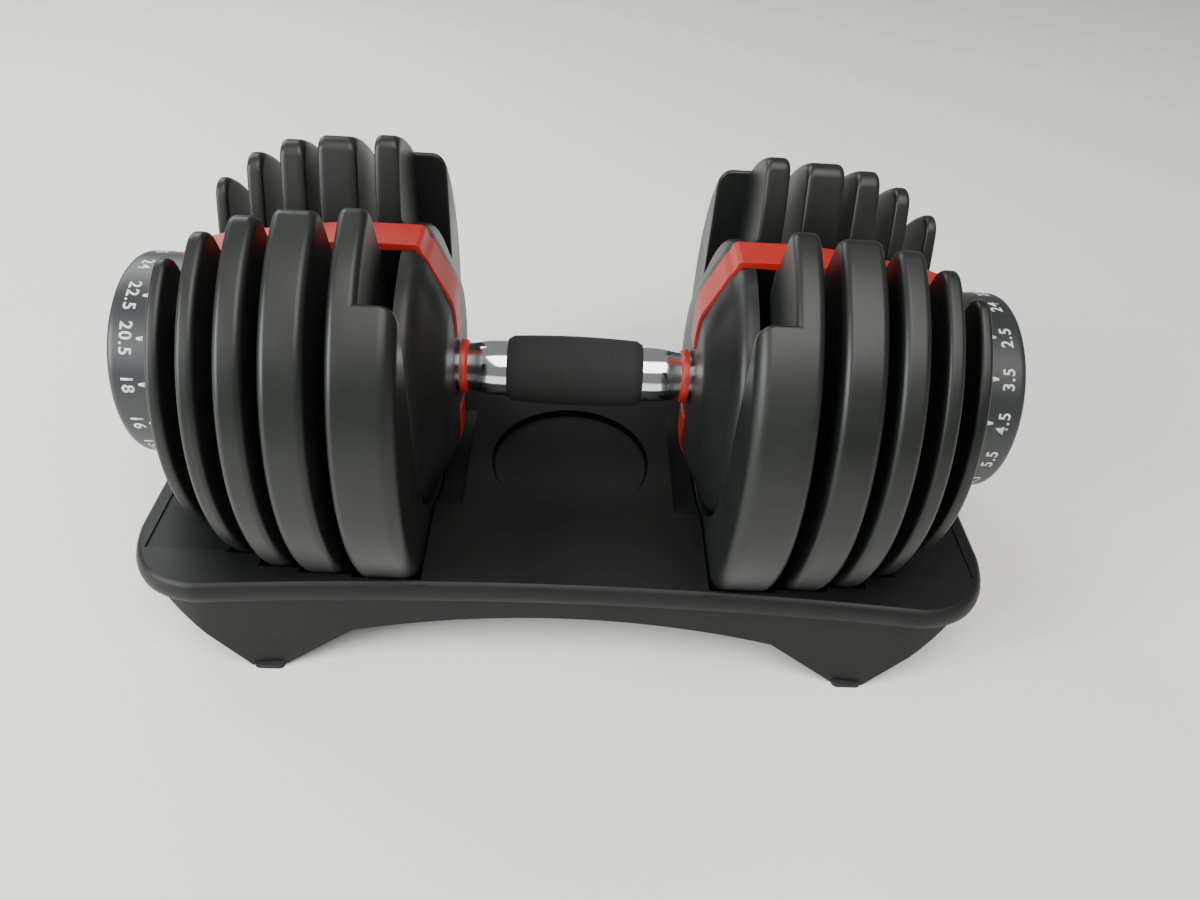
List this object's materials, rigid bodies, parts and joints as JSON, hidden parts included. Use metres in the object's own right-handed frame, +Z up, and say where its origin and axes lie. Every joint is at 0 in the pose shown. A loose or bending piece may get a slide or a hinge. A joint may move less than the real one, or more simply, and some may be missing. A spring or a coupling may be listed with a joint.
{
  "type": "adjustable dumbbell",
  "caption": "Selector dumbbell in its storage tray: nested round plates on a short handle, with a numbered dial at each end that sets which plates lift.",
  "frame": {"origin": "centre of the footprint, on the surface the stand's feet rest on", "axes": "+X along the handle, +Y to the back, +Z up; the row is the same turned half a turn about Z"},
  "size_m": [0.43, 0.218, 0.218],
  "materials": {
    "plate_black": "satin black nylon moulded over steel",
    "tray_black": "satin moulded black",
    "guard_grey": "satin moulded dark grey",
    "selector_black": "satin moulded black",
    "strap_red": "satin moulded red",
    "grip_rubber": "matt black moulded rubber",
    "pad_rubber": "matt black",
    "tube_chrome": "polished chrome plate",
    "steel": "bright zinc"
  },
  "bodies": {
    "base": {"tray_shell": "tray_black", "stand_skirt": "tray_black", "centre_disc": "tray_black", "foot_pad_1": "pad_rubber", "foot_pad_2": "pad_rubber", "foot_pad_3": "pad_rubber", "foot_pad_4": "pad_rubber", "stand_screw_1": "steel", "stand_screw_2": "steel", "stand_screw_3": "steel", "stand_screw_4": "steel"},
    "handle": {"handle_tube": "tube_chrome", "grip_sleeve": "grip_rubber", "core_rod": "steel", "guard_left": "guard_grey", "bridge_left": "strap_red", "tongue_left": "strap_red", "tube_collar_left": "strap_red", "detent_spring_left": "steel", "guard_right": "guard_grey", "bridge_right": "strap_red", "tongue_right": "strap_red", "tube_collar_right": "strap_red", "detent_spring_right": "steel"},
    "selector_left": {"selector_sleeve_left": "selector_black", "selector_disc_1_left": "selector_black", "selector_disc_2_left": "selector_black", "selector_disc_3_left": "selector_black", "selector_disc_4_left": "selector_black", "selector_disc_5_left": "selector_black", "dial_left": "selector_black", "dial_cap_left": "selector_black", "dial_screw_left": "steel"},
    "detent_left": {"detent_plunger_left": "steel"},
    "plate_1_left_body": {"plate_1_left": "plate_black"},
    "plate_2_left_body": {"plate_2_left": "plate_black"},
    "plate_3_left_body": {"plate_3_left": "plate_black"},
    "plate_4_left_body": {"plate_4_left": "plate_black"},
    "plate_5_left_body": {"plate_5_left": "plate_black"},
    "selector_right": {"selector_sleeve_right": "selector_black", "selector_disc_1_right": "selector_black", "selector_disc_2_right": "selector_black", "selector_disc_3_right": "selector_black", "selector_disc_4_right": "selector_black", "selector_disc_5_right": "selector_black", "dial_right": "selector_black", "dial_cap_right": "selector_black", "dial_screw_right": "steel"},
    "detent_right": {"detent_plunger_right": "steel"},
    "plate_1_right_body": {"plate_1_right": "plate_black"},
    "plate_2_right_body": {"plate_2_right": "plate_black"},
    "plate_3_right_body": {"plate_3_right": "plate_black"},
    "plate_4_right_body": {"plate_4_right": "plate_black"},
    "plate_5_right_body": {"plate_5_right": "plate_black"}
  },
  "joints": [
    {"name": "handle_lift", "type": "slide", "parent": "base", "child": "handle", "axis": [0, 0, 1], "range_m": [0, 0.25]},
    {"name": "plate_1_left_lift", "type": "slide", "parent": "base", "child": "plate_1_left_body", "axis": [0, 0, 1], "range_m": [0, 0.25]},
    {"name": "plate_2_left_lift", "type": "slide", "parent": "base", "child": "plate_2_left_body", "axis": [0, 0, 1], "range_m": [0, 0.25]},
    {"name": "plate_3_left_lift", "type": "slide", "parent": "base", "child": "plate_3_left_body", "axis": [0, 0, 1], "range_m": [0, 0.25]},
    {"name": "plate_4_left_lift", "type": "slide", "parent": "base", "child": "plate_4_left_body", "axis": [0, 0, 1], "range_m": [0, 0.25]},
    {"name": "plate_5_left_lift", "type": "slide", "parent": "base", "child": "plate_5_left_body", "axis": [0, 0, 1], "range_m": [0, 0.25]},
    {"name": "plate_1_right_lift", "type": "slide", "parent": "base", "child": "plate_1_right_body", "axis": [0, 0, 1], "range_m": [0, 0.25]},
    {"name": "plate_2_right_lift", "type": "slide", "parent": "base", "child": "plate_2_right_body", "axis": [0, 0, 1], "range_m": [0, 0.25]},
    {"name": "plate_3_right_lift", "type": "slide", "parent": "base", "child": "plate_3_right_body", "axis": [0, 0, 1], "range_m": [0, 0.25]},
    {"name": "plate_4_right_lift", "type": "slide", "parent": "base", "child": "plate_4_right_body", "axis": [0, 0, 1], "range_m": [0, 0.25]},
    {"name": "plate_5_right_lift", "type": "slide", "parent": "base", "child": "plate_5_right_body", "axis": [0, 0, 1], "range_m": [0, 0.25]},
    {"name": "dial_left_turn", "type": "hinge", "parent": "handle", "child": "selector_left", "pos_m": [0, 0, 0.114], "axis": [-1, 0, 0], "continuous": true},
    {"name": "dial_right_turn", "type": "hinge", "parent": "handle", "child": "selector_right", "pos_m": [0, 0, 0.114], "axis": [1, 0, 0], "continuous": true},
    {"name": "detent_left_press", "type": "slide", "parent": "handle", "child": "detent_left", "axis": [1, 0, 0], "range_m": [0, 0.001], "stiffness_N_per_m": 300},
    {"name": "detent_right_press", "type": "slide", "parent": "handle", "child": "detent_right", "axis": [-1, 0, 0], "range_m": [0, 0.001], "stiffness_N_per_m": 300}
  ],
  "couplings": [
    {"joint": "plate_1_left_lift", "follows": "handle_lift", "ratio": 1},
    {"joint": "plate_2_left_lift", "follows": "handle_lift", "ratio": 1},
    {"joint": "plate_3_left_lift", "follows": "handle_lift", "ratio": 1},
    {"joint": "plate_4_left_lift", "follows": "handle_lift", "ratio": 1},
    {"joint": "plate_5_left_lift", "follows": "handle_lift", "ratio": 1},
    {"joint": "plate_1_right_lift", "follows": "handle_lift", "ratio": 1},
    {"joint": "plate_2_right_lift", "follows": "handle_lift", "ratio": 1},
    {"joint": "plate_3_right_lift", "follows": "handle_lift", "ratio": 1},
    {"joint": "plate_4_right_lift", "follows": "handle_lift", "ratio": 1},
    {"joint": "plate_5_right_lift", "follows": "handle_lift", "ratio": 1}
  ]
}
